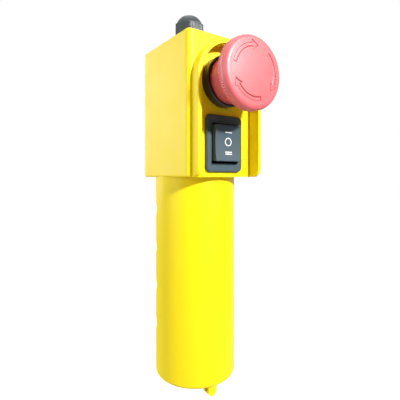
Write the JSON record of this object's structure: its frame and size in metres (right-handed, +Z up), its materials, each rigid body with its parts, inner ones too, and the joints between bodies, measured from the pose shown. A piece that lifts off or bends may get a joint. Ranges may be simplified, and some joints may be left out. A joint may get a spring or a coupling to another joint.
{
  "type": "pendant control station",
  "caption": "Hand-held hoist pendant: box head with stop mushroom and rocker behind an arch guard, round finger grip, cable gland on top.",
  "frame": {"origin": "centre of the cable seal's bore, on the gland's axis", "axes": "+Z up, along the cable as it leaves; the controls face -Y; +X is right seen from the front"},
  "size_m": [0.0504, 0.0812, 0.2356],
  "materials": {
    "yellow": "glossy moulded ABS",
    "red": "satin moulded",
    "black_gloss": "satin gloss",
    "black_nylon": "semi gloss nylon",
    "grey_plastic": "moulded",
    "white_plastic": "moulded",
    "rubber": "matt",
    "steel": "zinc plated",
    "brass": "bright",
    "wire_brown": "PVC",
    "wire_blue": "PVC",
    "wire_black": "PVC"
  },
  "bodies": {
    "housing": {"front_shell": "yellow", "rear_shell": "yellow", "housing_screws": "steel", "gland_body": "black_nylon", "gland_washer": "rubber", "gland_lock_nut": "black_nylon", "gland_seal": "rubber", "gland_dome_nut": "black_nylon", "estop_collar": "black_gloss", "estop_seal": "rubber", "estop_lock_nut": "grey_plastic", "estop_spring": "steel", "contact_housing": "grey_plastic", "contact_spring": "steel", "contact_terminals": "brass", "contact_screws": "steel", "rocker_frame": "black_gloss", "rocker_terminals": "brass", "capacitor_can": "white_plastic", "capacitor_blades": "brass", "wire_black": "wire_black", "wire_blue": "wire_blue", "wire_brown": "wire_brown"},
    "estop_plunger": {"estop_spindle": "grey_plastic", "estop_clip": "steel", "contact_plunger": "red", "contact_bridge": "brass"},
    "estop_knob": {"estop_cap": "red"},
    "rocker": {"rocker_paddle": "black_gloss", "rocker_pins": "grey_plastic", "rocker_springs": "steel"},
    "rocker_contacts": {"rocker_levers": "brass"}
  },
  "joints": [
    {"name": "estop_press", "type": "slide", "parent": "housing", "child": "estop_plunger", "axis": [0, 1, 0], "range_m": [0, 0.0036], "stiffness_N_per_m": 3000, "springref_m": -0.002, "deforming": ["estop_spring", "contact_spring"]},
    {"name": "estop_twist", "type": "hinge", "parent": "estop_plunger", "child": "estop_knob", "pos_m": [0, -0.05, -0.0429], "axis": [0, 1, 0], "range_deg": [0, 45], "stiffness_Nm_per_rad": 0.15, "springref_deg": -17.19},
    {"name": "rocker_tilt", "type": "hinge", "parent": "housing", "child": "rocker", "pos_m": [0, -0.0358, -0.078], "axis": [1, 0, 0], "range_deg": [-10, 10], "stiffness_Nm_per_rad": 0.4},
    {"name": "lever_tilt", "type": "hinge", "parent": "housing", "child": "rocker_contacts", "pos_m": [0, -0.0243, -0.078], "axis": [1, 0, 0], "range_deg": [-6, 6]}
  ],
  "couplings": [
    {"joint": "lever_tilt", "follows": "rocker_tilt", "ratio": -0.6}
  ]
}
